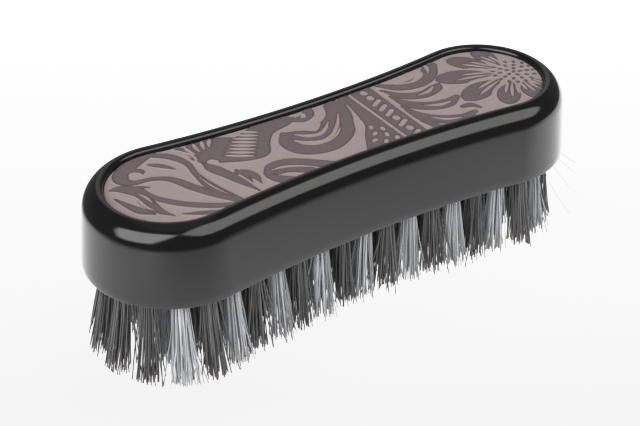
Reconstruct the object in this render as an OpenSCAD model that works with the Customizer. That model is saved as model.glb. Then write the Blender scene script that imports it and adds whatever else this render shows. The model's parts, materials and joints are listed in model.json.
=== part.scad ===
// Waisted hand brush: hollow gloss handle shell with a decorated inlay on top,
// a screwed-in bristle block underneath and rows of wire-anchored bristle tufts.
// Frame: +X along the brush, +Y across it, +Z up. Z = 0 is the plane of the bristle tips
// and the origin is the middle of that plane. All lengths are in millimetres.

/* [Handle outline] */
// Overall length of the handle at its bottom edge
body_len = 150; // [144:1:160]
// Radius of the two round ends at the bottom edge
lobe_r = 24.3; // [23.5:0.1:25]
// Half of the narrowest width, at the waist, at the bottom edge
waist_half = 20.85; // [20.3:0.05:22]
// How far the side wall leans in from its bottom edge to its top
wall_lean = 1.2; // [0.8:0.1:1.6]

/* [Handle section] */
// Height of the leaning flat part of the side wall
wall_top = 15.9; // [15.5:0.1:16.5]
// Radius of the big outer rounding above the side wall
rim_outer_r = 7.6; // [7.2:0.1:8]
// Radius of the crest, which turns down into the recess
rim_crest_r = 1.4; // [1.2:0.1:1.6]
// Inset of the recess wall from the bottom outline
recess_inset = 7.15; // [7:0.05:7.4]
// Drop from the top of the crest to the inlay's face
inlay_drop = 1.27; // [1.1:0.01:1.5]
// Thickness of the side wall beside the bristle block
skirt_t = 2.4; // [2:0.1:2.8]
// Thickness of the side wall above the block's ledge
upper_t = 4.2; // [4:0.1:5]
// Thickness of the deck under the inlay
deck_t = 2.2; // [2:0.1:3]
// Bevel along the bottom edge of the side wall
edge_bevel = 0.3; // [0.2:0.1:0.5]

/* [Inlay and adhesive] */
// Thickness of the inlay plate
inlay_t = 1.2; // [1:0.1:1.5]
// Thickness of the adhesive sheet below the inlay
glue_t = 0.3; // [0.2:0.1:0.5]
// Gap between the inlay's edge and the recess wall
inlay_gap = 0.15; // [0.1:0.05:0.3]
// Distance the adhesive sheet stays back from the inlay's edge
glue_margin = 1; // [0.5:0.5:3]

/* [Bristle block] */
// Depth of the block's face inside the bottom edge of the handle
block_recess = 0.8; // [0.5:0.1:1.2]
// Thickness of the block plate
block_t = 8.4; // [8:0.1:9]
// Gap between the block's edge and the side wall
block_gap = 0.15; // [0.1:0.05:0.3]
// Radius of each screw post on the block
post_r = 3.6; // [3.4:0.1:4]
// Height of the strengthening ribs on the block
rib_h = 3; // [2:0.5:5]
// Thickness of the strengthening ribs
rib_t = 1.6; // [1.2:0.1:2]
// Distance of the outer ribs from the middle
rib_y = 8; // [7:0.5:10]

/* [Tufts] */
// Height from the bristle tips to the bottom edge of the handle
bristle_h = 25.5; // [21:0.5:28]
// Radius of a tuft hole
hole_r = 2.2; // [2.1:0.1:2.3]
// Depth of a tuft hole
hole_depth = 6.6; // [6:0.1:7]
// Gap between a tuft and the wall of its hole
tuft_gap = 0.06; // [0.05:0.01:0.1]
// Radius of a tuft at the bristle tips
tip_r = 3.2; // [2.6:0.05:3.2]
// Inset of the outermost tufts from the bottom outline
field_inset = 6.8; // [6.4:0.05:6.8]
// Length of a wire anchor, which bites into both sides of its hole
anchor_len = 4.9; // [4.7:0.1:5.1]
// Height of an anchor wire's flat side
anchor_h = 1.8; // [1.4:0.1:2]
// Thickness of an anchor wire
anchor_t = 0.45; // [0.4:0.05:0.5]

/* [Screws] */
// Distance of the outer screws from the middle
screw_x = 51.1; // [49:0.1:53]
// Distance of the inner screws from the middle
screw_mid = 17; // [15:0.5:19]
// Radius over the thread of a screw
screw_r = 1.5; // [1.3:0.1:1.5]
// Radius of a screw head
head_r = 2.8; // [2.5:0.1:3]
// Length of a screw below its head
screw_len = 9; // [8:0.5:9.5]

/* [Hidden] */
$fn = 96;
z0 = bristle_h;
lobe_x = body_len / 2 - lobe_r;
waist_r = (lobe_x * lobe_x + waist_half * waist_half - lobe_r * lobe_r) / (2 * (lobe_r - waist_half));
arc_y = waist_half + waist_r;
turn = atan(lobe_x / arc_y);
lean_a = atan(wall_lean / wall_top);
// centres of the two roundings of the rim, as [inset, height above the bottom edge], and where they meet
c1 = [wall_lean + rim_outer_r * cos(lean_a), wall_top - rim_outer_r * sin(lean_a)];
rim_turn = acos((c1[0] + rim_crest_r - recess_inset) / (rim_outer_r - rim_crest_r));
c2 = c1 + (rim_outer_r - rim_crest_r) * [-cos(rim_turn), sin(rim_turn)];
inlay_top = c2[1] + rim_crest_r - inlay_drop;
deck_top = inlay_top - inlay_t - glue_t;
deck_bottom = deck_top - deck_t;
block_top = block_recess + block_t;
// how far the deck's edge is buried in the ring, at the waist and round the ends
waist_bite = 0.8;
end_bite = 1.5;
// heights above and below the deck's underside between which the wall widens under the rim
gusset_up = 0.5;
gusset_down = 0.7;
// overlaps that let neighbouring pieces join cleanly
seam = 0.01;
crease = 0.003;
lap = 0.3;
lap_a = lap / waist_r * 180 / PI;
core = 0.4;
// tufts: rows, angle between tufts round each end, radius they stand on there, distance between rows,
// then slit clearance, fold over the wire, bevel and flare
rows = 19;
end_step = 25.6;
field_r = lobe_r - field_inset;
row_pitch = (lobe_x + 0.44 * field_r) / ((rows - 3) / 2);
tuft_r = hole_r - tuft_gap;
tuft_top = z0 + block_recess + hole_depth - 0.1;
slit = 0.02;
fold_t = 0.9;
anchor_z = tuft_top - fold_t - anchor_h;
tuft_bevel = 0.8;
flare_drop = 6;
// screws: head height, seat depth, thread pitch and root, cross slot
head_h = 1;
head_seat = deck_top - head_h - 0.05;
thread_pitch = 1.2;
root_r = screw_r * 0.76;
slot_len = 2.8;
slot_w = 0.6;
slot_floor = 0.35;

// ---------- shared shapes ----------

// point on a rounding of the rim, at the angle a of its outward normal above level
function rim_point(c, r, a) = c + r * [-cos(a), sin(a)];

// half-width of the tuft field, inset all round
function field_half(x) =
    abs(x) > lobe_x - lobe_r * sin(turn)
        ? sqrt(max(0, pow(field_r, 2) - pow(abs(x) - lobe_x, 2)))
        : arc_y - sqrt(pow(waist_r + field_inset, 2) - x * x);

// round end of a waisted plate, taken a hair wider than the middle so that the two join cleanly
module end_piece(inset, low, high) {
    translate([lobe_x, 0, low]) rotate([0, 0, -90 - turn])
        rotate_extrude(angle = 180 + 2 * turn) square([lobe_r - inset + seam, high - low]);
}

// middle of a waisted plate, hollowed on both sides by the waist arcs
module mid_piece(inset, low, high) {
    r = lobe_r - inset;
    tx = lobe_x - r * sin(turn) + lap;
    ty = r * cos(turn) + lap * sin(turn);
    difference() {
        translate([0, 0, low]) linear_extrude(high - low)
            polygon([[-lobe_x - lap, 0], [-tx, ty], [tx, ty], [lobe_x + lap, 0], [tx, -ty], [-tx, -ty]]);
        for (s = [-1, 1])
            translate([0, s * arc_y, low - 1]) cylinder(h = high - low + 2, r = waist_r + inset, $fn = 360);
    }
}

// plate with the waisted outline, inset all round, cut from a taller blank so that its faces are whole
module plate(inset, low, high) {
    intersection() {
        union() {
            mid_piece(inset, low - 2 * lap, high + 2 * lap);
            for (a = [0, 180]) rotate([0, 0, a]) end_piece(inset, low - lap, high + lap);
        }
        translate([-body_len / 2, -lobe_r, low]) cube([body_len, 2 * lobe_r, high - low]);
    }
}

// part of the disc round c that a rounding from angle a to angle b needs, back to a point inside the wall
module rounding(c, r, a, b, deep) {
    m = (a + b) / 2;
    intersection() {
        translate(c) circle(r);
        polygon([deep, deep + 1.6 * (rim_point(c, r, a) - deep), rim_point(c, 2 * r, m),
                 deep + 1.6 * (rim_point(c, r, b) - deep)]);
    }
}

// section of the side wall and rim, drawn as [inset, height] and grown by g
module rim_section(g) {
    polygon([[-g, edge_bevel], [edge_bevel - g, -g], [skirt_t + g, -g], [skirt_t + g, block_top - g],
             [upper_t + g, block_top - g], [upper_t + g, deck_bottom - gusset_down],
             [recess_inset + g, deck_bottom + gusset_up], [recess_inset + g - crease, c2[1]],
             rim_point(c1, rim_outer_r - core, rim_turn), rim_point(c1, rim_outer_r + g - crease, lean_a)]);
    rounding(c1, rim_outer_r + g, lean_a - 8, rim_turn, [c2[0] - rim_crest_r, deck_top - 1]);
    rounding(c2, rim_crest_r + g + crease, rim_turn - 12, 190, [c2[0], deck_top]);
}

// rim section carried round the whole outline
module rim_ring() {
    for (a = [0, 180]) {
        rotate([0, 0, a]) translate([lobe_x, 0, 0]) rotate([0, 0, -90 - turn])
            rotate_extrude(angle = 180 + 2 * turn)
                translate([lobe_r, 0]) mirror([1, 0]) rim_section(seam);
        rotate([0, 0, a]) translate([0, -arc_y, 0]) rotate([0, 0, 90 - turn - lap_a])
            rotate_extrude(angle = 2 * turn + 2 * lap_a)
                translate([waist_r, 0]) rim_section(0);
    }
}

// deck that closes the ring under the inlay, with its edge buried in the ring
module deck() {
    half = waist_half - upper_t + waist_bite;
    round_r = lobe_r - recess_inset + end_bite;
    for (s = [-1, 1]) translate([s * lobe_x, 0, deck_bottom]) cylinder(h = deck_t, r = round_r);
    translate([-lobe_x, -half, deck_bottom]) cube([2 * lobe_x, 2 * half, deck_t]);
}

module at_screws() {
    for (x = [-screw_x, -screw_mid, screw_mid, screw_x]) translate([x, 0, 0]) children();
}

// ---------- handle ----------

module handle_shell() color([0.03, 0.03, 0.032]) translate([0, 0, z0]) {
    difference() {
        union() {
            rim_ring();
            deck();
        }
        at_screws() translate([0, 0, deck_bottom - 1]) cylinder(h = deck_t + 2, r = screw_r + 0.25);
        at_screws() translate([0, 0, head_seat]) cylinder(h = head_h + 2, r = head_r + 0.2);
    }
}

// ---------- inlay ----------

module inlay_panel() color([0.6, 0.54, 0.54])
    translate([0, 0, z0]) plate(recess_inset + inlay_gap, inlay_top - inlay_t, inlay_top);

module adhesive_sheet() color([0.85, 0.84, 0.78])
    translate([0, 0, z0]) plate(recess_inset + glue_margin, deck_top, inlay_top - inlay_t);

// ---------- bristle block ----------

// centres of the tufts in row i, counted from the -X end
function side(i) = i == 1 ? -1 : 1;
function end_tuft(i, a) = [side(i) * (lobe_x + field_r * cos(a)), field_r * sin(a)];
function row_x(i) = (i - (rows + 1) / 2) * row_pitch;
function tufts(i) = i == 1 || i == rows
    ? [for (k = [-1.5:1:1.5]) end_tuft(i, k * end_step)]
    : [for (k = [-1:0.5:1]) [row_x(i), k * field_half(row_x(i))]];

module at_row(i) {
    for (p = tufts(i)) translate([p[0], p[1], 0]) children();
}

// blind hole with the narrow slit that its wire anchor cuts on the way in
module tuft_hole() {
    translate([0, 0, block_recess - 1]) linear_extrude(hole_depth + 1) union() {
        circle(hole_r);
        square([anchor_t + 2 * slit, anchor_len + 2 * slit], center = true);
    }
}

// strengthening rib on top of the block, reaching the same way along -X and +X
module rib(y, reach) {
    translate([-reach, y - rib_t / 2, block_top - 0.5]) cube([2 * reach, rib_t, rib_h + 0.5]);
}

module bristle_block() color([0.05, 0.05, 0.052]) translate([0, 0, z0]) {
    difference() {
        union() {
            plate(skirt_t + block_gap, block_recess, block_top);
            at_screws() translate([0, 0, block_top - 0.5])
                cylinder(h = deck_bottom - block_top + 0.5, r = post_r);
            for (y = [-rib_y, 0, rib_y]) rib(y, y == 0 ? screw_x : screw_x - row_pitch);
        }
        for (i = [1:rows]) at_row(i) tuft_hole();
        at_screws() translate([0, 0, block_top - 0.8]) cylinder(h = deck_bottom, r = screw_r + 0.03);
    }
}

// ---------- screws ----------

// one ring ridge of the thread, as [radius, height]
function ridge(k) = [for (j = [0:2]) [j == 1 ? screw_r : root_r, -thread_pitch * (0.75 + k + 3 * j / 8)]];

// plain ring ridges stand for the thread
module screw() {
    ridges = floor((screw_len - 1.4) / thread_pitch);
    shank = concat([[0, 0.3], [root_r, 0.3]], [for (k = [0:ridges - 1]) each ridge(k)],
                   [[root_r, -screw_len + 0.7], [0.3, -screw_len], [0, -screw_len]]);
    difference() {
        union() {
            cylinder(h = head_h, r1 = head_r, r2 = head_r * 0.82);
            rotate_extrude() polygon(shank);
        }
        for (a = [0, 90]) rotate([0, 0, a])
            translate([-slot_len / 2, -slot_w / 2, slot_floor]) cube([slot_len, slot_w, head_h]);
    }
}

module cover_screws() color([0.6, 0.6, 0.62])
    translate([0, 0, z0 + head_seat]) at_screws() screw();

// ---------- tufts and anchors ----------

// envelope of one bundle of filaments, folded over its wire and spreading towards the tips
module tuft() {
    difference() {
        rotate_extrude() polygon([[0, 0], [tip_r - tuft_bevel, 0], [tip_r, tuft_bevel],
                                  [tuft_r + 0.25, z0 - flare_drop], [tuft_r, z0 + block_recess],
                                  [tuft_r, tuft_top - tuft_bevel], [tuft_r - tuft_bevel, tuft_top],
                                  [0, tuft_top]]);
        translate([-anchor_t / 2 - slit, -hole_r - 1, anchor_z - slit])
            cube([anchor_t + 2 * slit, 2 * hole_r + 2, anchor_h + 2 * slit]);
    }
}

module anchor() {
    translate([-anchor_t / 2, -anchor_len / 2, anchor_z]) cube([anchor_t, anchor_len, anchor_h]);
}

module tuft_row(i) color(i % 2 == 0 ? [0.6, 0.61, 0.63] : [0.2, 0.2, 0.21]) at_row(i) tuft();

module anchor_row(i) color([0.7, 0.6, 0.35]) at_row(i) anchor();

handle_shell();
inlay_panel();
adhesive_sheet();
bristle_block();
cover_screws();
tuft_row(1);  // tuft_row_01
tuft_row(2);  // tuft_row_02
tuft_row(3);  // tuft_row_03
tuft_row(4);  // tuft_row_04
tuft_row(5);  // tuft_row_05
tuft_row(6);  // tuft_row_06
tuft_row(7);  // tuft_row_07
tuft_row(8);  // tuft_row_08
tuft_row(9);  // tuft_row_09
tuft_row(10);  // tuft_row_10
tuft_row(11);  // tuft_row_11
tuft_row(12);  // tuft_row_12
tuft_row(13);  // tuft_row_13
tuft_row(14);  // tuft_row_14
tuft_row(15);  // tuft_row_15
tuft_row(16);  // tuft_row_16
tuft_row(17);  // tuft_row_17
tuft_row(18);  // tuft_row_18
tuft_row(19);  // tuft_row_19
anchor_row(1);  // anchor_row_01
anchor_row(2);  // anchor_row_02
anchor_row(3);  // anchor_row_03
anchor_row(4);  // anchor_row_04
anchor_row(5);  // anchor_row_05
anchor_row(6);  // anchor_row_06
anchor_row(7);  // anchor_row_07
anchor_row(8);  // anchor_row_08
anchor_row(9);  // anchor_row_09
anchor_row(10);  // anchor_row_10
anchor_row(11);  // anchor_row_11
anchor_row(12);  // anchor_row_12
anchor_row(13);  // anchor_row_13
anchor_row(14);  // anchor_row_14
anchor_row(15);  // anchor_row_15
anchor_row(16);  // anchor_row_16
anchor_row(17);  // anchor_row_17
anchor_row(18);  // anchor_row_18
anchor_row(19);  // anchor_row_19
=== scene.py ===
"""Looks of a clothes brush: gloss handle, inlay with a raised ornament, and tufts of single filaments."""

import json
import math

import bpy
import numpy as np
from mathutils import Matrix, Vector


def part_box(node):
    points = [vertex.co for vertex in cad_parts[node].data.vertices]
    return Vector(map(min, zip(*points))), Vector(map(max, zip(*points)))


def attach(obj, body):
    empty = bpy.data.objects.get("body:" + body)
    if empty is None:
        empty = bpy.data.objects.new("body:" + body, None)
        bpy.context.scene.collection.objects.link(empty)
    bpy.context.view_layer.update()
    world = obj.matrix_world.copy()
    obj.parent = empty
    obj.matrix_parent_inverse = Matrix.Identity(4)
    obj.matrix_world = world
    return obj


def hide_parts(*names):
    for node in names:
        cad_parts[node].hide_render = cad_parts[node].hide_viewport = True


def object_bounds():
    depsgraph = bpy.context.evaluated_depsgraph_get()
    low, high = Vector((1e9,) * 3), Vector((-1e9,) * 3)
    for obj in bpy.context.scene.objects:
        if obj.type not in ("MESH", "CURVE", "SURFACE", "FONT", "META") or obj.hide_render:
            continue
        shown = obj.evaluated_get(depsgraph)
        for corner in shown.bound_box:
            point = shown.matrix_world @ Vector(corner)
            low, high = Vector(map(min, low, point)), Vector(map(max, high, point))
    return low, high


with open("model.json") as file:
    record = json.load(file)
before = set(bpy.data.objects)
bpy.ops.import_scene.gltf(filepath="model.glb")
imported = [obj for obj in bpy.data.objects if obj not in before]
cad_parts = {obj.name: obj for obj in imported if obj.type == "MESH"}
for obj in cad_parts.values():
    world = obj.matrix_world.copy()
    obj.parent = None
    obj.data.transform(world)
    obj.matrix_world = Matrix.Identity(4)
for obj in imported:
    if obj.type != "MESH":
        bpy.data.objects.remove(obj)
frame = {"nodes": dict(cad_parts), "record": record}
CAD_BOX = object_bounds()
MM = 0.001

# ---------- sizes and places of the CAD part, in millimetres ----------

SHELL_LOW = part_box("handle_shell")[0] / MM
INLAY_LOW, INLAY_HIGH = (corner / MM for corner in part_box("inlay_panel"))
BLOCK_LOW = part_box("bristle_block")[0] / MM

# the outline at the bottom edge: two round ends, joined by waist arcs that meet them at the angle TURN
BODY_LEN = 150.0
LOBE_R = 24.3
WAIST_HALF = 20.85
LOBE_X = BODY_LEN / 2 - LOBE_R
WAIST_R = (LOBE_X**2 + WAIST_HALF**2 - LOBE_R**2) / (2 * (LOBE_R - WAIST_HALF))
ARC_Y = WAIST_HALF + WAIST_R
TURN = math.atan2(LOBE_X, ARC_Y)

# side wall and rim: the wall's lean and top, the rim's two radii, the recess's inset and the foot's bevel
WALL_LEAN = 1.2
WALL_TOP = 15.9
RIM_OUTER_R = 7.6
RIM_CREST_R = 1.4
RECESS_INSET = 7.15
EDGE_BEVEL = 0.3
# the hollow underneath: wall thicknesses, and the inward and upward size of the bevel on its bottom edge
SKIRT_T = 2.4
UPPER_T = 4.2
DECK_T = 2.2
LIP_IN, LIP_UP = 0.2, 0.25

# what fills the shell: thickness of the block and of the adhesive, and the gap round the inlay
BLOCK_T = 8.4
GLUE_T = 0.3
INLAY_GAP = 0.15
BLOCK_TOP = BLOCK_LOW.z - SHELL_LOW.z + BLOCK_T
RECESS_FLOOR = INLAY_LOW.z - SHELL_LOW.z - GLUE_T
DECK_BOTTOM = RECESS_FLOOR - DECK_T

# the tufts: rows from end to end, radius of a tuft in its hole, the outermost tufts' inset, and the angle
# between neighbours round the two ends
ROWS = 19
ROW_PITCH = 7.3
TUFT_R = 2.14
FIELD_INSET = 6.8
END_STEP = math.radians(25.6)


# ---------- outline and mesh helpers ----------

def outline(inset, lobe_steps=96, waist_steps=72):
    """Points of the waisted outline, inset all round, counter-clockwise from the +X end's lower tangent."""
    r, half = LOBE_R - inset, math.pi / 2 + TURN
    points = []
    for side in (0.0, math.pi):
        c, s = math.cos(side), math.sin(side)
        for a in np.linspace(-half, half, lobe_steps, endpoint=False):
            x, y = LOBE_X + r * math.cos(a), r * math.sin(a)
            points.append((c * x - s * y, s * x + c * y))
        for a in np.linspace(TURN, -TURN, waist_steps, endpoint=False):
            x = (WAIST_R + inset) * math.sin(a)
            y = ARC_Y - (WAIST_R + inset) * math.cos(a)
            points.append((c * x - s * y, s * x + c * y))
    return np.array(points)


def half_width(x, inset):
    """Half of the inset outline's width at a distance x from the middle."""
    x = abs(x)
    if x > LOBE_X - (LOBE_R - inset) * math.sin(TURN):
        return math.sqrt(max(0.0, (LOBE_R - inset) ** 2 - (x - LOBE_X) ** 2))
    return ARC_Y - math.sqrt((WAIST_R + inset) ** 2 - x * x)


def arc(centre, r, start, end, steps):
    """Points of a rim rounding as [inset, height], by the angle of its outward normal above level."""
    return [(centre[0] - r * math.cos(a), centre[1] + r * math.sin(a))
            for a in np.linspace(start, end, steps)]


def add_mesh(name, verts, faces, material=None, smooth_angle=None):
    """A new object from points in millimetres and faces."""
    mesh = bpy.data.meshes.new(name)
    mesh.from_pydata([tuple(v) for v in np.asarray(verts) * MM], [], faces)
    mesh.validate()
    obj = bpy.data.objects.new(name, mesh)
    bpy.context.scene.collection.objects.link(obj)
    if smooth_angle is not None:
        mesh.shade_smooth()
        mesh.set_sharp_from_angle(angle=math.radians(smooth_angle))
    if material:
        mesh.materials.append(material)
    return obj


def attribute(obj, name, values):
    """Stores one number per vertex for the material to read."""
    layer = obj.data.attributes.new(name, "FLOAT", "POINT")
    layer.data.foreach_set("value", np.asarray(values, np.float32))


# ---------- material helpers ----------

class Nodes:
    """Short way to build a node material round one shader, which is an Emission where glowing."""

    def __init__(self, name, glowing=False, **sockets):
        self.material = bpy.data.materials.new(name)
        self.material.use_nodes = True
        self.tree = self.material.node_tree
        self.shader = self.tree.nodes["Principled BSDF"]
        if glowing:
            self.tree.nodes.remove(self.shader)
            self.shader = self.add("Emission")
            surface = self.tree.nodes["Material Output"].inputs["Surface"]
            self.tree.links.new(self.shader.outputs[0], surface)
        for key, value in sockets.items():
            self.shader.inputs[key.replace("_", " ")].default_value = value

    def add(self, kind, inputs=None, **settings):
        node = self.tree.nodes.new("ShaderNode" + kind)
        for key, value in settings.items():
            setattr(node, key, value)
        for key, value in (inputs or {}).items():
            self.put(node.inputs[key], value)
        return node

    def put(self, socket, value):
        if isinstance(value, bpy.types.NodeSocket):
            self.tree.links.new(value, socket)
        else:
            socket.default_value = value

    def coords(self):
        return self.add("TexCoord").outputs["Object"]

    def noise(self, scale, detail=2.0, roughness=0.5, vector=None):
        return self.add("TexNoise", {"Vector": vector or self.coords(), "Scale": scale, "Detail": detail,
                                     "Roughness": roughness}).outputs["Fac"]

    def read(self, name):
        """The number that the mesh stores at each vertex under a name."""
        return self.add("Attribute", attribute_name=name).outputs["Fac"]

    def math(self, operation, a, b=0.0):
        node = self.add("Math", operation=operation)
        self.put(node.inputs[0], a)
        self.put(node.inputs[1], b)
        return node.outputs[0]

    def span(self, value, low, high, to_low=0.0, to_high=1.0, kind="LINEAR"):
        """Maps value from low..high to to_low..to_high and keeps it inside."""
        return self.add("MapRange", {"Value": value, "From Min": low, "From Max": high, "To Min": to_low,
                                     "To Max": to_high}, interpolation_type=kind).outputs["Result"]

    def mix(self, factor, a, b):
        node = self.add("Mix", data_type="RGBA")
        self.put(node.inputs[0], factor)
        for socket, value in ((node.inputs[6], a), (node.inputs[7], b)):
            self.put(socket, value if isinstance(value, bpy.types.NodeSocket) else (*value, 1.0))
        return node.outputs[2]

    def bump(self, height, distance, strength):
        inputs = {"Height": height, "Distance": distance, "Strength": strength}
        return self.add("Bump", inputs).outputs["Normal"]

    def finish(self, color=None, roughness=None, normal=None):
        for key, value in (("Base Color", color), ("Roughness", roughness), ("Normal", normal)):
            if value is not None:
                self.put(self.shader.inputs[key], value)
        return self.material


# ---------- materials ----------

def gloss_black():
    """Polished black moulding: faintly wavy, with a fine grain and a few specks."""
    m = Nodes("gloss_black", IOR=1.49)
    wave = m.noise(120.0, 2.0)
    grain = m.noise(2600.0, 2.0)
    cells = m.add("TexVoronoi", {"Vector": m.coords(), "Scale": 210.0})
    speck = m.span(cells.outputs["Distance"], 0.018, 0.03, 1.0, 0.0)
    rough = m.span(m.noise(46.0, 4.0, 0.6), 0.35, 0.7, 0.07, 0.13)
    rough = m.math("ADD", rough, m.math("MULTIPLY", speck, 0.3))
    color = m.mix(speck, (0.0042, 0.0042, 0.0045), (0.05, 0.05, 0.05))
    height = m.math("ADD", m.math("MULTIPLY", wave, 0.012), m.math("MULTIPLY", grain, 0.0012))
    return m.finish(color, rough, m.bump(height, 0.001, 0.35))


def moulded_black():
    """Fine matte surface of the bristle block."""
    m = Nodes("moulded_black", IOR=1.5)
    grain = m.noise(1500.0, 3.0, 0.6)
    color = m.mix(m.noise(60.0, 3.0), (0.012, 0.012, 0.0125), (0.026, 0.026, 0.027))
    return m.finish(color, m.span(grain, 0.3, 0.7, 0.42, 0.6), m.bump(grain, 0.0002, 0.5))


def inlay_surface():
    """Matte taupe ground with the raised grey-mauve ornament, darker along its edges."""
    m = Nodes("inlay_surface", IOR=1.46, Specular_IOR_Level=0.35)
    ink = m.read("ink")
    grain = m.noise(2300.0, 3.0, 0.65)
    cloud = m.noise(70.0, 4.0, 0.55)
    ground = m.mix(m.span(grain, 0.3, 0.7), (0.335, 0.272, 0.265), (0.405, 0.335, 0.328))
    ground = m.mix(m.span(cloud, 0.35, 0.65, 0.0, 0.25), ground, (0.31, 0.262, 0.265))
    raised = m.mix(m.span(grain, 0.3, 0.7), (0.128, 0.1, 0.108), (0.172, 0.138, 0.146))
    edge = m.span(m.math("ABSOLUTE", m.math("ADD", ink, 0.17)), 0.08, 0.3, 0.75, 0.0)
    inside = m.span(ink, -0.03, 0.06, 1.0, 0.0)
    color = m.mix(inside, ground, m.mix(edge, raised, (0.088, 0.068, 0.075)))
    rough = m.span(grain, 0.25, 0.75, 0.55, 0.75)
    return m.finish(color, rough, m.bump(grain, 0.00012, 0.5))


def filament(name, dark, light, warm, tip):
    """Drawn synthetic filament: a tone of its own for each strand, a few warmer ones and a worn tip."""
    m = Nodes(name, IOR=1.53, Specular_IOR_Level=0.6)
    streak = m.noise(3000.0, 2.0)
    strand = m.read("strand")
    own_tone = m.math("MULTIPLY", m.math("POWER", strand, 1.3), 0.85)
    color = m.mix(m.math("ADD", own_tone, m.math("MULTIPLY", streak, 0.15)), dark, light)
    reshuffled = m.math("FRACT", m.math("MULTIPLY", strand, 7.31))
    color = m.mix(m.span(reshuffled, 0.7, 0.95, 0.0, 0.5), color, warm)
    color = m.mix(m.span(m.read("along"), 0.8, 1.0, 0.0, 0.75), color, tip)
    rough = m.span(strand, 0.0, 1.0, 0.3, 0.45)
    return m.finish(color, rough, m.bump(streak, 0.0001, 0.25))


def plated_steel():
    """Bright zinc plating with fine turning marks."""
    m = Nodes("plated_steel", Metallic=1.0)
    marks = m.noise(1800.0, 3.0)
    color = m.mix(marks, (0.5, 0.5, 0.52), (0.62, 0.62, 0.64))
    return m.finish(color, m.span(marks, 0.3, 0.7, 0.2, 0.38), m.bump(marks, 0.0001, 0.4))


def drawn_brass():
    """Drawn flat wire, streaked along its length."""
    m = Nodes("drawn_brass", Metallic=1.0)
    stretched = m.add("Mapping", {"Vector": m.coords(), "Scale": (1.0, 0.05, 1.0)}).outputs["Vector"]
    marks = m.noise(3000.0, 3.0, vector=stretched)
    color = m.mix(marks, (0.6, 0.43, 0.17), (0.76, 0.58, 0.28))
    return m.finish(color, m.span(marks, 0.3, 0.7, 0.22, 0.4), m.bump(marks, 0.0001, 0.3))


def adhesive_film():
    """Dull double-sided film with a faint mottle."""
    m = Nodes("adhesive_film")
    mottle = m.noise(300.0, 4.0)
    color = m.mix(mottle, (0.66, 0.64, 0.56), (0.78, 0.76, 0.7))
    return m.finish(color, m.span(mottle, 0.3, 0.7, 0.5, 0.7), m.bump(mottle, 0.0002, 0.4))


# ---------- handle ----------

def rim_section():
    """The outside of the section, from the bottom edge over the rim to the recess wall's foot."""
    lean = math.atan2(WALL_LEAN, WALL_TOP)
    outer = (WALL_LEAN + RIM_OUTER_R * math.cos(lean), WALL_TOP - RIM_OUTER_R * math.sin(lean))
    step = RIM_OUTER_R - RIM_CREST_R
    turn = math.acos((outer[0] + RIM_CREST_R - RECESS_INSET) / step)
    crest = (outer[0] - step * math.cos(turn), outer[1] + step * math.sin(turn))
    section = [(EDGE_BEVEL * (1 - math.cos(a)), EDGE_BEVEL * (1 - math.sin(a)))
               for a in np.linspace(math.pi / 2, 0, 4)]
    section += [(WALL_LEAN * t, EDGE_BEVEL + (WALL_TOP - EDGE_BEVEL) * t)
                for t in np.linspace(0.0, 1.0, 9)[1:-1]]
    section += arc(outer, RIM_OUTER_R, lean, turn, 26)[:-1]
    section += arc(crest, RIM_CREST_R, turn, math.pi, 28)
    section.append((RECESS_INSET, RECESS_FLOOR))
    return section


def handle(material):
    """The whole shell as one closed mesh: outside, rim, recess and the hollow underneath."""
    inner = [(UPPER_T, DECK_BOTTOM), (UPPER_T, BLOCK_TOP), (SKIRT_T, BLOCK_TOP),
             (SKIRT_T, LIP_UP), (SKIRT_T - LIP_IN, 0.0)]
    section = inner + rim_section()
    rings = [np.column_stack([outline(i), np.full(len(outline(i)), SHELL_LOW.z + z)]) for i, z in section]
    n = len(rings[0])
    faces = []
    for k in range(len(rings) - 1):
        for j in range(n):
            a, b = k * n + j, k * n + (j + 1) % n
            faces.append((a, b, b + n, a + n))
    last = (len(rings) - 1) * n
    faces.append(list(range(last, last + n)))
    faces.append(list(range(n - 1, -1, -1)))
    return add_mesh("handle_shell_gloss", np.vstack(rings), faces, material, 40)


# ---------- inlay ornament ----------

# how near to a shape its distance is worked out, and the distance that stands for anywhere further off
NEAR, FAR = 1.2, 3.0
BLADE_STEPS = 6


def spline(points, steps=9):
    """Smooth path through given (x, y, half-width) points."""
    p = np.array(points, float)
    p = np.vstack([2 * p[0] - p[1], p, 2 * p[-1] - p[-2]])
    p[0, 2], p[-1, 2] = p[1, 2], p[-2, 2]
    out = []
    for a, b, c, d in zip(p, p[1:], p[2:], p[3:]):
        for t in np.linspace(0.0, 1.0, steps, endpoint=False):
            squared, cubed = 2 * a - 5 * b + 4 * c - d, 3 * b - a - 3 * c + d
            out.append(0.5 * (2 * b + (c - a) * t + squared * t**2 + cubed * t**3))
    out.append(p[-2])
    return np.array(out)


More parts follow.
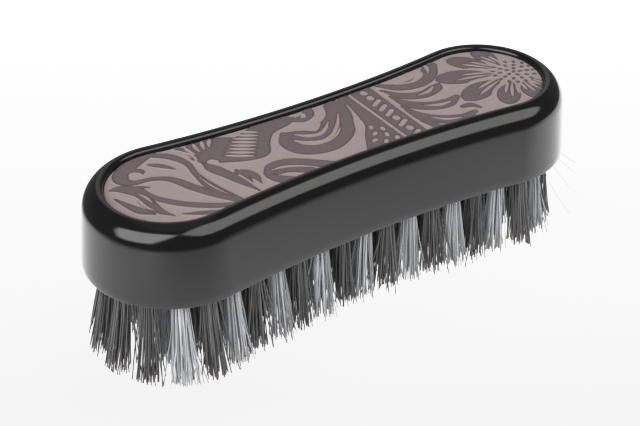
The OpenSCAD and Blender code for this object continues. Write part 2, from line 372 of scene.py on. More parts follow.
class Relief:
    """Signed distance in millimetres to the raised ornament, below zero inside it."""

    def __init__(self, x, y):
        self.x, self.y = x, y
        self.clear()

    def clear(self):
        self.field = np.full(self.x.shape, FAR)

    def distance(self, points):
        """Distance to one rounded stroke through (x, y, half-width) points."""
        path = spline(points)
        result = np.full(self.x.shape, FAR)
        for (ax, ay, aw), (bx, by, bw) in zip(path, path[1:]):
            reach = max(aw, bw) + NEAR
            near = np.nonzero((self.x > min(ax, bx) - reach) & (self.x < max(ax, bx) + reach)
                              & (self.y > min(ay, by) - reach) & (self.y < max(ay, by) + reach))
            px, py = self.x[near] - ax, self.y[near] - ay
            dx, dy = bx - ax, by - ay
            t = np.clip((px * dx + py * dy) / max(dx * dx + dy * dy, 1e-9), 0.0, 1.0)
            d = np.hypot(px - t * dx, py - t * dy) - (aw + t * (bw - aw))
            result[near] = np.minimum(result[near], d)
        return result

    def add(self, *points):
        """Raises a stroke."""
        self.field = np.minimum(self.field, self.distance(points))

    def cut(self, *points):
        """Takes a stroke away from what is raised so far."""
        self.field = np.maximum(self.field, -self.distance(points))

    # ----- motifs -----

    def blade(self, x, y, aim, length, width, bend=0.0, fat=0.5, light=False):
        """Pointed leaf or slit from (x, y), heading aim and turning by bend, widest a share fat along it."""
        sharp = math.log(0.5) / math.log(fat)
        points, turn, step = [], math.radians(aim), length / BLADE_STEPS
        for k in range(BLADE_STEPS + 1):
            share = (0.02 + 0.96 * k / BLADE_STEPS) ** sharp
            points.append((x, y, width / 2 * math.sin(math.pi * share) ** 0.8))
            x, y = x + step * math.cos(turn), y + step * math.sin(turn)
            turn += math.radians(bend) / BLADE_STEPS
        (self.cut if light else self.add)(*points)

    def bead(self, x, y, aim, length, width, light=True):
        """Short round-ended dash."""
        half, turn = (length - width) / 2, math.radians(aim)
        c, s = half * math.cos(turn), half * math.sin(turn)
        (self.cut if light else self.add)((x - c, y - s, width / 2), (x + c, y + s, width / 2))


def end_scroll(r):
    """Big curl at the -X end: two vines roll out of it and run together towards the near side."""
    r.add((-43, 18, 0.7), (-49, 16.4, 1.5), (-56, 13.8, 2.3), (-60, 9.8, 2.0), (-58, 6.6, 1.1),
          (-53, 5.6, 0.9), (-49, 2.6, 1.2), (-46.5, -3, 1.4), (-43.5, -9, 1.2), (-40, -15, 0.7))
    r.add((-56, 12.6, 1.0), (-53.6, 10.4, 0.8), (-54.4, 8.8, 0.25))
    r.cut((-56.4, 9.9, 1.15), (-54.9, 9.2, 0.6), (-54.2, 7.8, 0.3))
    r.add((-50, 16.8, 0.5), (-44.6, 13.2, 1.3), (-42, 7.4, 1.0), (-42.6, 1.2, 0.9), (-42.2, -6, 1.5),
          (-39.4, -15, 1.1))
    r.cut((-42.6, -0.4, 0.15), (-41.9, -6, 0.28), (-40, -12.4, 0.1))
    r.blade(-51, 12.4, -38, 8.2, 1.8, bend=-28, fat=0.42)
    r.add((-57.4, 1.6, 0.3), (-56.2, -3.4, 1.0), (-51.8, -9, 1.15), (-46, -13.6, 1.1), (-41, -16, 0.8))


def end_leaf(r):
    """Slit leaf that fills the very end."""
    r.add((-64.6, 6.6, 0.4), (-62, 5.8, 1.5), (-59.2, 2.2, 2.2), (-59.4, -3.4, 2.0), (-58.6, -8.4, 1.1),
          (-56.6, -12, 0.3))
    r.add((-58, 4.2, 0.7), (-55.6, 2.6, 0.3))
    r.cut((-62.2, 3.4, 0.15), (-61, 0.2, 0.5), (-60.6, -4.6, 0.42), (-59.4, -7.8, 0.1))
    r.cut((-59.6, 2.0, 0.1), (-58.6, -1.2, 0.42), (-58.4, -4.4, 0.1))
    r.add((-65.4, 2.4, 0.35), (-64.2, -1.6, 0.9), (-62.6, -5.6, 1.3), (-60.4, -8.6, 0.5))
    r.add((-54.6, -12.4, 0.25), (-51, -14.4, 0.8), (-46.6, -16.6, 0.9))


def comb_leaf(r):
    """Broad leaf on the far side, cut by a comb of lens-shaped slits, with a round eye at its root."""
    r.add((-41.4, 17.5, 0.6), (-39.4, 12.4, 1.1), (-37.2, 7.4, 2.4), (-33, 4.4, 2.2), (-27, 1.6, 2.2),
          (-22.6, 1.2, 2.0), (-19.4, 4.8, 1.3), (-15.6, 9, 1.5), (-10, 11.6, 2.6), (-6.4, 11.4, 0.7))
    r.add((-36.6, 12.6, 2.6), (-31, 9.8, 4.8), (-26, 6.8, 4.8), (-20.6, 9, 3.8), (-14, 13.4, 2.6))
    for k in range(8):  # the comb: each slit starts further along the leaf and is a little shorter
        length = 8.6 - 0.3 * k
        x, y = -28.6 + 1.15 * k - 0.41 * length, 3.0 + 1.3 * k + 0.28 * length
        r.blade(x, y, -37, length, 1.3, bend=8, fat=0.5, light=True)
    r.cut((-36.2, 4.2, 1.35), (-35.9, 3.9, 1.35))
    for k in range(5):  # a fan of slits round the eye
        r.blade(-39.2 + 1.5 * k, 8.6 + 0.5 * k, 124 - 14 * k, 6.4 - 0.4 * k, 1.15,
                bend=-26, fat=0.6, light=True)
    r.cut((-41, 14, 0.4), (-38.8, 9.4, 0.45), (-40, 5.4, 0.3))


def side_leaves(r):
    """Small plain leaves between the scroll and the curled leaf."""
    r.add((-38.6, 5.2, 0.3), (-37.6, 1.4, 1.7), (-36, -3, 1.6), (-34.6, -8, 1.2), (-33, -14, 0.3))
    r.cut((-37.6, -4.6, 0.1), (-36.4, -8.4, 0.22), (-35, -12.6, 0.1))
    r.add((-34.2, -3.6, 0.6), (-31.8, -4.4, 1.3), (-30.4, -7.8, 1.1), (-30.8, -11.4, 0.2))
    r.add((-33, -2.6, 0.55), (-32.2, -7.2, 0.6), (-32.4, -9.6, 0.2))
    r.add((-26.8, -8.4, 1.4), (-24.2, -6.4, 1.9), (-20.2, -6.8, 2.1), (-16.4, -9, 1.9), (-12.4, -12.2, 1.6),
          (-8, -15, 1.0))
    r.add((-27.2, -9.6, 1.2), (-25.8, -12.2, 1.7), (-23, -14.6, 1.6))
    r.add((-24.4, -9.6, 1.3), (-21, -10.6, 1.7), (-17, -13, 1.6))
    r.cut((-25.4, -7.6, 0.15), (-22.4, -7.8, 0.5), (-18.8, -9.4, 0.45), (-14.8, -12.4, 0.15))
    r.cut((-25.2, -10.6, 0.15), (-22.4, -11.4, 0.5), (-19, -13.4, 0.25))


def curled_leaf(r):
    """Deep cup-shaped leaf across the waist with three long light slits, and a small bud in its hollow."""
    r.add((-13, 5.6, 1.2), (-14.6, 1.4, 2.2), (-13.4, -3, 2.4), (-9.4, -5.8, 2.3), (-4, -6, 2.2),
          (0.8, -3.6, 2.0), (4.2, 0, 2.2), (8, 4.4, 3.4), (11.6, 8, 3.2), (12, 13.6, 2.4))
    r.add((-12.4, 5.0, 1.4), (-9.6, 2.6, 2.6), (-5.4, -0.4, 2.8), (-1.4, 1.4, 2.6), (2.4, 5.4, 3.0),
          (7, 10.2, 3.4))
    r.cut((-12.4, 1.4, 0.3), (-9.8, -1.4, 0.8), (-6.0, -2.8, 0.7), (-2.0, -1.4, 0.55), (2.2, 2.4, 0.5),
          (5.4, 6.8, 0.2))
    r.cut((-10.6, 4.0, 0.25), (-8.2, 1.6, 0.8), (-4.8, 0.6, 0.7), (-1.6, 2.4, 0.5), (0.8, 4.8, 0.15))
    r.cut((3.4, -6.0, 0.3), (6.6, -1.0, 1.0), (9.2, 4.6, 0.7), (10, 9.4, 0.2))
    r.cut((-8.6, 7.2, 0.3), (-3.6, 6.2, 1.1), (1.2, 8.6, 1.1), (3.8, 13.6, 0.8))
    r.add((-6.8, 10.4, 1.0), (-4.0, 9.8, 1.7), (-1.2, 11.6, 1.7), (-0.4, 15.4, 1.2))
    r.cut((-3.6, 10.6, 0.75), (-2.8, 11.6, 0.6))


def dot_field(r):
    """Corner beside the band, dark with loose light dots."""
    r.add((12.2, 12, 1.6), (11.6, 4, 2.2), (10.6, -3.6, 3.0), (7.6, -9, 3.6), (4.2, -14, 3.2))
    r.add((11.6, -4, 1.6), (10.8, -12, 2.8))
    dots = ((8.6, -4.2, 60), (10.9, -6.4, 80), (7.6, -7.4, 35), (10.1, -9.4, 70), (5.6, -10.2, 20),
            (11.5, -12.2, 60), (7.9, -12.2, 45))
    for x, y, aim in dots:
        r.bead(x, y, aim, 2.1, 1.25)


def crosswise_band(r):
    """Strip across the panel with beads and slanting dashes."""
    r.add((17.6, 15, 3.6), (17.6, -15, 3.6))
    beads = (0, 1, 5, 7)
    for k, y in enumerate(np.arange(12.0, -13.5, -3.15)):
        aim, length, width = (90, 2.5, 2.0) if k in beads else (32, 4.3, 1.45)
        r.bead(17.7 - 0.06 * k, y, aim, length, width)


def band_lines(r):
    """The two light lines beside the strip, drawn over everything else."""
    r.cut((13.6, 17, 0.5), (13.6, -17, 0.5))
    r.cut((21.4, 17, 0.35), (21.2, 0, 0.5), (20.9, -17, 0.45))


def sprays(r):
    """Plumes that fan out of the band's far end."""
    r.add((23.4, 13.6, 0.9), (28, 9.4, 1.9), (34, 8.6, 2.6), (39.4, 10.8, 2.6), (43, 14.8, 2.2))
    r.cut((27.6, 11.2, 0.1), (33, 10, 0.6), (37.4, 12, 0.95), (38.4, 14.4, 0.4))
    r.cut((40, 11.6, 0.2), (41.4, 14, 0.7), (41.6, 16, 0.5))
    r.add((22.6, 10.6, 0.5), (26.4, 4.6, 1.7), (31.4, 2.4, 2.0), (36.4, 3.4, 1.9), (38.6, 5, 0.6))
    r.cut((29.6, 2.8, 0.1), (33.4, 3, 0.6), (36.2, 4.4, 0.3))
    r.add((22.8, 6.6, 0.5), (24.6, 0.4, 1.8), (28.8, -3.6, 2.3), (34, -5, 2.2), (38.4, -3.6, 1.1))
    r.cut((27.6, -2.4, 0.1), (31.6, -4.6, 0.7), (35.2, -4.8, 0.3))
    r.add((22.4, 0.4, 0.5), (23.4, -6.6, 1.9), (27.4, -11.4, 2.2), (33, -13.6, 1.8), (37.6, -12.8, 0.9))
    r.cut((25.2, -8.4, 0.1), (28.4, -11.8, 0.6), (32.4, -13.4, 0.2))
    r.add((22.6, -9, 0.9), (24.4, -14.6, 1.3))
    r.add((36.4, -9, 0.9), (38.8, -9.4, 1.2), (40.2, -11.8, 0.6))


def daisy(r):
    """Open flower at the +X end: slit petals round a field of short dashes."""
    cx, cy = 61.0, -1.2

    def around(radius, angle):
        return cx + radius * math.cos(angle), cy + radius * math.sin(angle)

    petals = ((98, 10.0, 6.0), (128, 13.6, 7.0), (161, 17.0, 7.8), (195, 16.4, 7.8), (227, 12.6, 6.8),
              (258, 9.6, 5.6), (286, 8.6, 4.8))
    for aim, length, width in petals:
        r.blade(*around(6.0, math.radians(aim)), aim - 7, length, width, bend=14, fat=0.6)
        for k, share in ((-1, 0.6), (0, 0.74), (1, 0.6)):
            foot = around(5.4, math.radians(aim + 10 * k))
            r.blade(*foot, aim + 8 * k, length * share, 1.0, bend=10, fat=0.6, light=True)
    for ring, count, aim in ((2.0, 5, 20), (4.0, 10, 0), (6.0, 15, 10)):
        for k in range(count):
            angle = 2 * math.pi * (k + 0.35 * ring) / count
            r.bead(*around(ring, angle), math.degrees(angle) + aim, 1.5, 1.0, light=False)
    r.bead(cx, cy, 40, 1.4, 1.0, light=False)


MOTIFS = (end_leaf, comb_leaf, end_scroll, side_leaves, curled_leaf, dot_field, crosswise_band, sprays, daisy)


def ornament(x, y):
    """Signed distance to the whole ornament: each motif keeps its slits to itself."""
    relief = Relief(x, y)
    whole = relief.field
    for motif in MOTIFS:
        relief.clear()
        motif(relief)
        whole = np.minimum(whole, relief.field)
    relief.field = whole
    band_lines(relief)
    return relief.field


# ---------- inlay ----------

# height of the ornament, and the width over which its edge slopes
RELIEF = 0.22
SLOPE = 0.4
# the panel's rounded edge: how far it falls, and over what width
EDGE_FALL = 0.12
EDGE_WIDTH = 0.25
# points along the middle, round each end and across
MIDDLE_POINTS, END_POINTS, CROSS_POINTS = 384, 104, 124


def panel_stations(r):
    """Places along the panel: even steps round both ends and along the middle."""
    tangent = LOBE_X - r * math.sin(TURN)
    middle = np.linspace(-tangent, tangent, MIDDLE_POINTS)
    ends = LOBE_X + r * np.sin(np.linspace(-TURN, math.pi / 2, END_POINTS))[1:]
    return np.concatenate([-ends[::-1], middle, ends])


def inlay(material):
    """Panel with the ornament standing up from its ground, its edge rounded down to a closed underside."""
    inset = RECESS_INSET + INLAY_GAP
    xs = panel_stations(LOBE_R - inset)
    across = np.linspace(-1.0, 1.0, CROSS_POINTS)
    half = np.array([half_width(x, inset) for x in xs])
    x = np.repeat(xs[:, None], len(across), 1)
    y = half[:, None] * across[None, :]
    ink = ornament(x, y)
    lift = np.clip(0.5 - ink / SLOPE, 0.0, 1.0)
    lift = lift * lift * (3 - 2 * lift)
    to_edge = np.minimum(half[:, None] * (1 - np.abs(across)[None, :]), (xs[-1] - np.abs(x)) * 2)
    fall = np.clip(1 - to_edge / EDGE_WIDTH, 0.0, 1.0) ** 2 * EDGE_FALL
    z = INLAY_HIGH.z - RELIEF * (1 - lift) - fall
    top = np.stack([x, y, z], -1).reshape(-1, 3)
    rows, cols = x.shape
    faces = [(i * cols + j, (i + 1) * cols + j, (i + 1) * cols + j + 1, i * cols + j + 1)
             for i in range(rows - 1) for j in range(cols - 1)]
    rim = (list(range(cols - 1, 0, -1)) + [i * cols for i in range(rows - 1)]
           + [(rows - 1) * cols + j for j in range(cols - 1)]
           + [i * cols + cols - 1 for i in range(rows - 1, 0, -1)])
    base = len(top)
    under = top[rim].copy()
    under[:, 2] = INLAY_LOW.z
    count = len(rim)
    faces += [(rim[(k + 1) % count], rim[k], base + k, base + (k + 1) % count) for k in range(count)]
    faces.append(tuple(base + k for k in range(count)))
    obj = add_mesh("inlay_relief", np.vstack([top, under]), faces, material, 50)
    attribute(obj, "ink", np.concatenate([ink.ravel(), np.full(count, FAR)]))
    return obj


# ---------- tufts ----------

def tuft_places(row):
    """Centres of the tufts in a row, counted from the -X end."""
    r = LOBE_R - FIELD_INSET
    if row in (1, ROWS):
        side = -1 if row == 1 else 1
        return [(side * (LOBE_X + r * math.cos(k * END_STEP)), r * math.sin(k * END_STEP))
                for k in (-1.5, -0.5, 0.5, 1.5)]
    x = (row - (ROWS + 1) / 2) * ROW_PITCH
    return [(x, k * half_width(x, FIELD_INSET)) for k in (-1.0, -0.5, 0.0, 0.5, 1.0)]


# filaments in a tuft, sides of a filament, points along it and its radius
STRANDS = 66
SIDES = 6
STATIONS = 8
STRAND_R = 0.19
# how deep in their hole the filaments start
ROOT_DEPTH = 1.5
# turn from one filament to the next that fills the hole evenly
GOLDEN_TURN = 2.39996
# how far the outer filaments of a tuft spread at their tips
FLARE = 1.7
# spread of the tips, each after the running share of the filaments: strays, crossing ones and the rest
SCATTER = ((0.04, 3.0), (0.2, 1.6), (1.0, 0.5))
# share of the filaments that are short
SHORT_SHARE = 0.08
# how far the outermost tufts lean out at their tips, and how much more they do round the -X end
LEAN = 1.9
LEAN_MORE = 2.5
# how much the bristles are worn down towards the +X end
WORN = 1.9
# distance that the tips stay inside the handle's outline
TIP_INSET = 0.25
# thickness of the long loose hairs, as a share of the others
STRAY_THIN = 0.6


def ease(value, low, high):
    """Smooth step from 0 at low to 1 at high."""
    t = min(max((value - low) / (high - low), 0.0), 1.0)
    return t * t * (3 - 2 * t)


def off_axis(x, y):
    """Direction and distance from the brush's spine, which runs between the centres of the round ends."""
    return np.array([x - min(max(x, -LOBE_X), LOBE_X), y])


def kept_inside(tip):
    """Brings a tip back inside the handle's outline."""
    away = off_axis(*tip)
    distance = np.linalg.norm(away)
    limit = (LOBE_R if abs(tip[0]) > LOBE_X else half_width(tip[0], 0.0)) - TIP_INSET
    return tip if distance <= limit else tip - away / distance * (distance - limit)


def strand_path(root, tip, bow, start_z, tip_z):
    """Points down one filament: straight out of its hole, then leaning and bowing towards its tip."""
    t = np.linspace(0.0, 1.0, STATIONS)
    lean = t**1.35
    wave = np.sin(np.pi * t) * t
    x = root[0] + (tip[0] - root[0]) * lean + bow[0] * wave
    y = root[1] + (tip[1] - root[1]) * lean + bow[1] * wave
    z = start_z + (tip_z - start_z) * t
    return np.column_stack([x, y, z])


def tube(path, r):
    """Ring points round a path, thinner towards the tip."""
    along = np.gradient(path, axis=0)
    along /= np.linalg.norm(along, axis=1)[:, None]
    side = np.cross(along, (0.0, 1.0, 0.0))
    side /= np.linalg.norm(side, axis=1)[:, None]
    up = np.cross(side, along)
    turn = np.arange(SIDES) * 2 * math.pi / SIDES
    widths = r * np.linspace(1.0, 0.86, len(path))
    ring = side[:, None] * np.cos(turn)[None, :, None] + up[:, None] * np.sin(turn)[None, :, None]
    return (path[:, None] + ring * widths[:, None, None]).reshape(-1, 3)


def tube_faces(base):
    """Sides and both ends of the tube whose points start at base."""
    faces = []
    for k in range(STATIONS - 1):
        for j in range(SIDES):
            a, b = base + k * SIDES + j, base + k * SIDES + (j + 1) % SIDES
            faces.append((a, a + SIDES, b + SIDES, b))
    faces.append(tuple(base + j for j in range(SIDES)))
    end = base + (STATIONS - 1) * SIDES
    faces.append(tuple(end + j for j in range(SIDES - 1, -1, -1)))
    return faces


def tuft_strands(rng, cx, cy):
    """Roots, tips, bows and tip heights of the filaments of one tuft."""
    out = off_axis(cx, cy) / (LOBE_R - FIELD_INSET)
    lean = out * np.linalg.norm(out) * (LEAN + LEAN_MORE * ease(-cx, 30.0, 60.0)) + rng.normal(0.0, 0.4, 2)
    worn = WORN * ease(cx, -60.0, 40.0)
    for i in range(STRANDS):
        r0 = (TUFT_R - STRAND_R - 0.02) * math.sqrt((i + 0.5) / STRANDS)
        a = i * GOLDEN_TURN + rng.uniform(-0.25, 0.25)
        off = r0 * np.array([math.cos(a), math.sin(a)])
        root = np.array([cx, cy]) + off
        kind = rng.random()
        scatter = next(spread for share, spread in SCATTER if kind <= share)
        tip = root + lean * rng.uniform(0.75, 1.2) + FLARE * off / TUFT_R + rng.normal(0.0, scatter, 2)
        short = rng.uniform(0.5, 3.5) if rng.random() < SHORT_SHARE else 0.0
        tip_z = 0.05 + worn * rng.uniform(0.6, 1.2) + abs(rng.normal(0.0, 0.6)) + short
        yield root, kept_inside(tip), rng.normal(0.0, 0.4, 2), tip_z


def long_strays(rng):
    """A few loose hairs that stand out sideways at the +X end."""
    for x, y, tip, tip_z in ((66.0, -9.0, (74.6, -17.4), 15.5), (66.4, -7.6, (74.7, -16.2), 18.6),
                             (64.6, -11.4, (71.5, -19.2), 12.0), (61.0, -14.2, (69.4, -21.6), 5.5)):
        yield np.array([x, y]), np.array(tip), rng.normal(0.0, 0.3, 2), tip_z


def tuft_row(row, material):
    """All the filaments of one row of tufts as one mesh."""
    rng = np.random.default_rng(1000 + row)
    verts, faces, strand, along = [], [], [], []
    paths = [p for cx, cy in tuft_places(row) for p in tuft_strands(rng, cx, cy)]
    ordinary = len(paths)
    if row == ROWS:
        paths += long_strays(rng)
    for k, (root, tip, bow, tip_z) in enumerate(paths):
        path = strand_path(root, tip, bow, BLOCK_LOW.z + ROOT_DEPTH, tip_z)
        faces += tube_faces(k * SIDES * STATIONS)
        verts.append(tube(path, STRAND_R * rng.uniform(0.85, 1.08) * (1.0 if k < ordinary else STRAY_THIN)))
        strand.append(np.full(SIDES * STATIONS, rng.random()))
        along.append(np.repeat(np.linspace(0.0, 1.0, STATIONS), SIDES))
    obj = add_mesh(f"tuft_filaments_{row:02d}", np.vstack(verts), faces, material, 60)
    attribute(obj, "strand", np.concatenate(strand))
    attribute(obj, "along", np.concatenate(along))
    return obj


# ---------- camera, light and floor ----------

CAMERA_AZIMUTH = math.radians(-34.42)
CAMERA_ELEVATION = math.radians(33.94)
CAMERA_ROLL = math.radians(0.55)
CAMERA_DISTANCE = 403.6
CAMERA_LENS = 87.31
# the point that the middle of the picture looks at, measured from the middle of the handle's bottom edge
AIM = Vector((-16.83, -17.41, 9.84))


def add_camera():
    """The camera at the photograph's viewing angle, with no depth of field."""
    a, e = CAMERA_AZIMUTH, CAMERA_ELEVATION
    back = Vector((math.sin(a) * math.cos(e), -math.cos(a) * math.cos(e), math.sin(e)))
    right = Vector((0, 0, 1)).cross(back).normalized()
    up = back.cross(right)
    c, s = math.cos(CAMERA_ROLL), math.sin(CAMERA_ROLL)
    right, up = c * right + s * up, c * up - s * right
    target = (AIM + Vector((0, 0, SHELL_LOW.z))) * MM
    camera = bpy.data.objects.new("camera", bpy.data.cameras.new("camera"))
    camera.data.lens = CAMERA_LENS
    camera.data.sensor_width = 36
    camera.data.clip_start = 0.01
    bpy.context.scene.collection.objects.link(camera)
    turn = Matrix((right, up, back)).transposed()
    camera.matrix_world = Matrix.Translation(target + back * CAMERA_DISTANCE * MM) @ turn.to_4x4()
    bpy.context.scene.camera = camera


# brightness of the table as the camera sees it, near the camera and beyond the brush, and where, in metres
# from the middle of the brush and away from the camera, the one changes to the other
FLOOR_NEAR, FLOOR_FAR = 1.15, 2.4
FLOOR_RAMP = (-0.055, 0.125)
# light that the table throws back, and the metres from the brush's spine over which it comes up
BOUNCE_GLOW = 0.85
FOOTPRINT = (0.021, 0.05)
# brightness of the table as the gloss mirrors it: to the left, in front, to the right and far away
TABLE_LEFT, TABLE_FRONT, TABLE_RIGHT, TABLE_REST = 2.5, 1.7, 2.2, 0.17
# half the sides of the three layers of the table, and how far they lie below the bristle tips
FLOOR_SIZE, BOUNCE_SIZE, TABLE_SIZE = 4000.0, 1500.0, 450.0
TABLE_GAP = 0.02


def floor_material():
    """Pale lit table: mostly its own glow, brighter further back, and a little real shading."""
    m = Nodes("floor_pale", Base_Color=(0.1, 0.1, 0.1, 1.0), Roughness=0.7, Specular_IOR_Level=0.0,
              Emission_Color=(1.0, 1.0, 1.0, 1.0))
    place = m.add("SeparateXYZ", {"Vector": m.coords()})
    across = m.math("MULTIPLY", place.outputs["X"], -math.sin(CAMERA_AZIMUTH))
    away = m.math("ADD", across, m.math("MULTIPLY", place.outputs["Y"], math.cos(CAMERA_AZIMUTH)))
    level = m.span(away, *FLOOR_RAMP, FLOOR_NEAR, FLOOR_FAR)
    cloud = m.span(m.noise(1.5, 1.0), 0.3, 0.7, 0.99, 1.01)
    m.put(m.shader.inputs["Emission Strength"], m.math("MULTIPLY", level, cloud))
    return m.material


def bounce_material():
    """Light that the table throws back at the brush, fading out under it."""
    m = Nodes("table_bounce", glowing=True)
    place = m.add("SeparateXYZ", {"Vector": m.coords()})
    beyond = m.math("MAXIMUM", m.math("SUBTRACT", m.math("ABSOLUTE", place.outputs["X"]), LOBE_X * MM), 0.0)
    sideways = m.math("POWER", m.math("ABSOLUTE", place.outputs["Y"]), 2.0)
    away = m.math("SQRT", m.math("ADD", m.math("POWER", beyond, 2.0), sideways))
    m.put(m.shader.inputs["Strength"], m.span(away, *FOOTPRINT, 0.0, BOUNCE_GLOW, "SMOOTHSTEP"))
    return m.material


def table_material():
    """What the gloss sees of the table: bright round the brush and fading out on every side."""
    m = Nodes("table_glow", glowing=True)
    place = m.add("SeparateXYZ", {"Vector": m.coords()})
    x, y = place.outputs["X"], place.outputs["Y"]

    def decay(away, start, reach):
        """Falls from 1 at the distance start, to a third one reach further out."""
        past = m.math("MAXIMUM", m.math("SUBTRACT", away, start), 0.0)
        drop = m.math("POWER", m.math("DIVIDE", past, reach), 1.5)
        return m.math("EXPONENT", m.math("MULTIPLY", drop, -1.0))

    level = m.span(x, -0.16, -0.1, TABLE_LEFT, TABLE_FRONT, "SMOOTHSTEP")
    level = m.math("ADD", level, m.span(x, 0.03, 0.11, 0.0, TABLE_RIGHT - TABLE_FRONT, "SMOOTHSTEP"))
    nearer = m.math("MULTIPLY", m.math("MAXIMUM", m.math("SUBTRACT", x, 0.05), 0.0), 0.35)
    front = decay(m.math("SUBTRACT", m.math("MULTIPLY", y, -1.0), nearer), 0.05, 0.082)
    left = decay(m.math("MULTIPLY", x, -1.0), 0.1, 0.11)
    right = m.span(x, 0.26, 0.4, 1.0, 0.0, "SMOOTHSTEP")
    back = m.span(y, 0.075, 0.145, 1.0, 0.0, "SMOOTHSTEP")
    fade = m.math("MULTIPLY", m.math("MULTIPLY", front, left), m.math("MULTIPLY", right, back))
    extra = m.math("MULTIPLY", m.math("SUBTRACT", level, TABLE_REST), fade)
    m.put(m.shader.inputs["Strength"], m.math("ADD", extra, TABLE_REST))
    return m.material


def add_floor():
    """One table in three layers: what the camera sees, what lights the brush and what the gloss mirrors."""
    for name, size, material, sense in (("floor", FLOOR_SIZE, floor_material(), "camera"),
                                        ("bounce", BOUNCE_SIZE, bounce_material(), "diffuse"),
                                        ("table", TABLE_SIZE, table_material(), "glossy")):
        corners = [(-size, -size, 0), (size, -size, 0), (size, size, 0), (-size, size, 0)]
        plane = add_mesh(name, np.array(corners, float), [(0, 1, 2, 3)], material)
        plane.location.z = CAD_BOX[0].z - TABLE_GAP * MM
        plane.visible_camera = sense == "camera"
        plane.visible_diffuse = sense == "diffuse"
        plane.visible_glossy = sense == "glossy"
        plane.visible_shadow = False


# the two softboxes: compass and height angles, seen from the brush, where each has faded to half its light
LEFT_BOX = ((-105, 33), (-105, 20), (-97, 7), (-87, 7), (-72, 10), (-56, 13), (-46, 25), (-36, 36), (-25, 46),
            (-36, 49), (-50, 50), (-65, 48), (-86, 43), (-98, 38))
RIGHT_BOX = ((-18, 47), (-5, 37), (6, 29), (20, 25), (31, 24), (38, 22), (45, 22), (59, 27), (64, 34),
             (60, 45), (56, 49), (51, 53), (27, 61), (2, 58))
LEFT_GLOW, RIGHT_GLOW = 5.1, 3.25
LEFT_TINT, RIGHT_TINT = (1.0, 1.0, 1.0), (1.0, 0.985, 0.955)
# distance of the softboxes in metres
BOX_DISTANCE = 3.0
# share of a softbox's width over which its light fades out
BOX_FADE = 0.4


def softbox(name, corners, strength, tint):
    """A glowing panel with the given corners round the brush, softly dimmed along its edge."""
    points = []
    for azimuth, elevation in corners:
        a, e = math.radians(azimuth), math.radians(elevation)
        points.append((math.sin(a) * math.cos(e), -math.cos(a) * math.cos(e), math.sin(e)))
    edge = np.array(points) * BOX_DISTANCE / MM + np.array([0.0, 0.0, SHELL_LOW.z])
    middle = edge.mean(0)
    rings = [middle + (edge - middle) * size for size in (1 + BOX_FADE / 2, 1 - BOX_FADE / 2)]
    m = Nodes(name, glowing=True, Color=(*tint, 1.0))
    m.put(m.shader.inputs["Strength"], m.span(m.read("glow"), 0.0, 1.0, 0.0, strength, "SMOOTHSTEP"))
    n = len(edge)
    faces = [(k, (k + 1) % n, n + (k + 1) % n, n + k) for k in range(n)]
    faces += [(n + k, n + (k + 1) % n, 2 * n) for k in range(n)]
    card = add_mesh(name, np.vstack(rings + [middle]), faces, m.material)
    attribute(card, "glow", [0.0] * n + [1.0] * (n + 1))
    card.visible_camera = False


# light from all round, from overhead, and from high up behind the right end
WORLD_GLOW, OVERHEAD_GLOW, BACK_GLOW = 0.17, 0.36, 0.5
OVERHEAD_AIM = (0.0, 0.0, 1.0)
BACK_AIM = (0.419, 0.726, 0.545)


def add_world():
    """Dim even surroundings, a little brighter overhead and behind."""
    world = bpy.data.worlds.new("studio")
    bpy.context.scene.world = world
    world.use_nodes = True
    nodes, links = world.node_tree.nodes, world.node_tree.links
    way = nodes.new("ShaderNodeTexCoord").outputs["Generated"]

    def glow(aim, low, high, dark, bright):
        """Rises from dark to bright as the direction comes round to aim."""
        turned = nodes.new("ShaderNodeVectorMath")
        turned.operation = "DOT_PRODUCT"
        turned.inputs[1].default_value = aim
        links.new(way, turned.inputs[0])
        level = nodes.new("ShaderNodeMapRange")
        level.interpolation_type = "SMOOTHSTEP"
        links.new(turned.outputs["Value"], level.inputs["Value"])
        for key, value in (("From Min", low), ("From Max", high), ("To Min", dark), ("To Max", bright)):
            level.inputs[key].default_value = value
        return level.outputs["Result"]

    total = nodes.new("ShaderNodeMath")
    links.new(glow(OVERHEAD_AIM, 0.84, 0.93, WORLD_GLOW, OVERHEAD_GLOW), total.inputs[0])
    links.new(glow(BACK_AIM, 0.86, 0.97, 0.0, BACK_GLOW), total.inputs[1])
    nodes["Background"].inputs["Color"].default_value = (1.0, 1.0, 1.0, 1.0)
    links.new(total.outputs[0], nodes["Background"].inputs["Strength"])


def add_lights():
    add_world()
    softbox("left_softbox", LEFT_BOX, LEFT_GLOW, LEFT_TINT)
    softbox("right_softbox", RIGHT_BOX, RIGHT_GLOW, RIGHT_TINT)


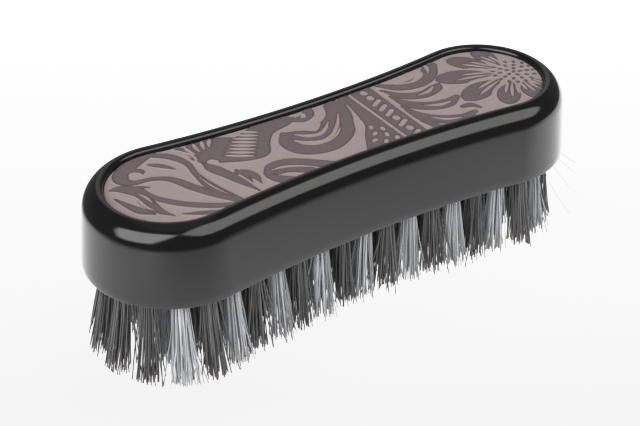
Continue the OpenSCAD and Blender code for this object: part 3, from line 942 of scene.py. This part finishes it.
# bends of the tone curve: light in the scene, where TONE_WHITE is the most, and light in the picture
TONE_WHITE = 2.4
TONES = ((0.25, 0.25), (0.5, 0.5), (0.65, 0.642), (0.82, 0.765), (1.04, 0.86), (1.4, 0.925), (1.9, 0.96),
         (TONE_WHITE, 0.99))


def set_tones():
    """True tones up to the middle greys and a soft shoulder for what is brighter than paper white."""
    view = bpy.context.scene.view_settings
    view.view_transform = "Standard"
    view.use_curve_mapping = True
    curves = view.curve_mapping
    curves.white_level = (TONE_WHITE, TONE_WHITE, TONE_WHITE)
    combined = curves.curves[3]
    for light, shown in TONES[:-1]:
        combined.points.new(light / TONE_WHITE, shown)
    combined.points[-1].location = (1.0, TONES[-1][1])
    curves.update()


# ---------- put together ----------

def keep(node, material):
    """A CAD node that stays as it is, in a material of its own."""
    obj = frame["nodes"][node]
    obj.data.materials.clear()
    obj.data.materials.append(material)
    obj.data.shade_smooth()
    obj.data.set_sharp_from_angle(angle=math.radians(35))


def slot_of(node):
    """Material slot of a CAD node."""
    return next(p["material_slot"] for p in frame["record"]["subparts"] if p["node"] == node)


def stand_for(piece, node):
    """piece shows in place of a CAD node, which is hidden, and moves with the root body."""
    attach(piece, "root")
    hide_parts(node)


def build():
    stand_for(handle(gloss_black()), "handle_shell")
    stand_for(inlay(inlay_surface()), "inlay_panel")
    shades = {
        "bristle_dark": filament("filament_dark", (0.018, 0.018, 0.019), (0.15, 0.15, 0.152),
                                 (0.085, 0.072, 0.066), (0.06, 0.044, 0.04)),
        "bristle_light": filament("filament_light", (0.22, 0.235, 0.25), (0.72, 0.745, 0.78),
                                  (0.5, 0.5, 0.49), (0.42, 0.42, 0.42)),
    }
    for row in range(1, ROWS + 1):
        node = f"tuft_row_{row:02d}"
        stand_for(tuft_row(row, shades[slot_of(node)]), node)
    brass = drawn_brass()
    for row in range(1, ROWS + 1):
        keep(f"anchor_row_{row:02d}", brass)
    keep("bristle_block", moulded_black())
    keep("adhesive_sheet", adhesive_film())
    keep("cover_screws", plated_steel())


set_tones()
build()
add_camera()
add_floor()
add_lights()
